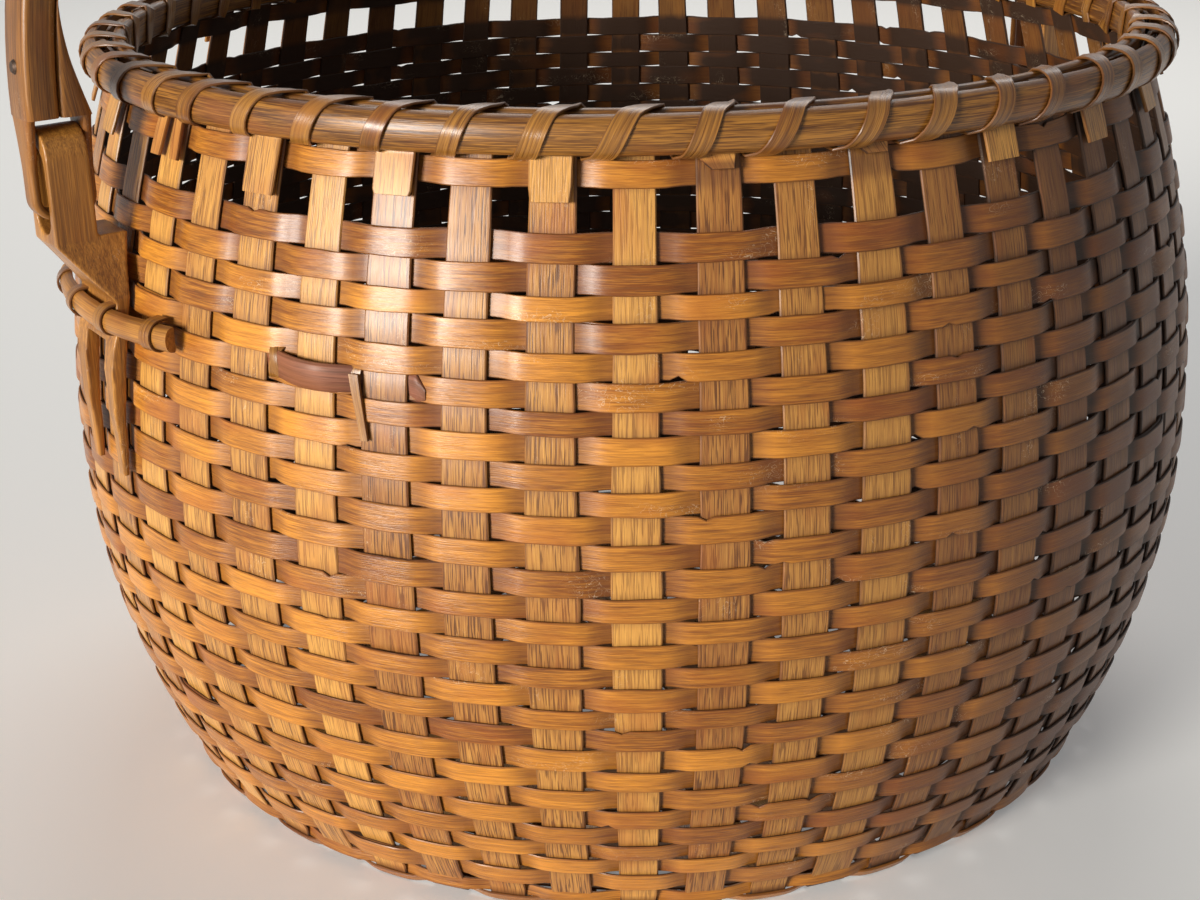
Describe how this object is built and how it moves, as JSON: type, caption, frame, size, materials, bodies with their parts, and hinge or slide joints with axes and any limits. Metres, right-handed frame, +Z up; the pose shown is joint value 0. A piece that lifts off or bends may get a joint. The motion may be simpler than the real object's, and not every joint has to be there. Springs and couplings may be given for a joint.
{
  "type": "swing handle splint basket",
  "caption": "Round open gathering basket woven from flat wood splints, with lashed rim hoops, carved ears and a bent wooden swing handle.",
  "frame": {"origin": "middle of the base, on the floor", "axes": "+Z up, towards the handle; the handle swings about X, which runs through both ears"},
  "size_m": [0.47, 0.432, 0.498],
  "materials": {
    "weavers": "varnished splint",
    "uprights": "varnished splint",
    "base": "varnished splint",
    "hoops": "varnished bent wood",
    "lashing": "varnished splint",
    "ears": "varnished carved wood",
    "stays": "varnished half-round rod",
    "handle": "varnished bent wood",
    "nails": "dark iron"
  },
  "bodies": {
    "basket": {"base_hub": "base", "base_weavers": "base", "uprights_plain": "uprights", "uprights_folded": "uprights", "weaver_01": "weavers", "weaver_02": "weavers", "weaver_03": "weavers", "weaver_04": "weavers", "weaver_05": "weavers", "weaver_06": "weavers", "weaver_07": "weavers", "weaver_08": "weavers", "weaver_09": "weavers", "weaver_10": "weavers", "weaver_11": "weavers", "weaver_12": "weavers", "weaver_13": "weavers", "weaver_14": "weavers", "weaver_15": "weavers", "weaver_16": "weavers", "weaver_17": "weavers", "weaver_18": "weavers", "weaver_19": "weavers", "weaver_20": "weavers", "weaver_21": "weavers", "weaver_22": "weavers", "weaver_23": "weavers", "weaver_24": "weavers", "weaver_25": "weavers", "weaver_26": "weavers", "weaver_27": "weavers", "weaver_28": "weavers", "top_weaver": "weavers", "rim_weaver": "weavers", "outer_hoop": "hoops", "inner_hoop": "hoops", "rim_lashing": "lashing", "ear_left": "ears", "ear_right": "ears", "stay_left": "stays", "stay_right": "stays", "stay_ties": "lashing"},
    "handle": {"handle": "handle", "handle_nails": "nails"}
  },
  "joints": [
    {"name": "handle_swing", "type": "hinge", "parent": "basket", "child": "handle", "pos_m": [0, 0, 0.2315], "axis": [1, 0, 0], "range_deg": [-95, 95]}
  ]
}
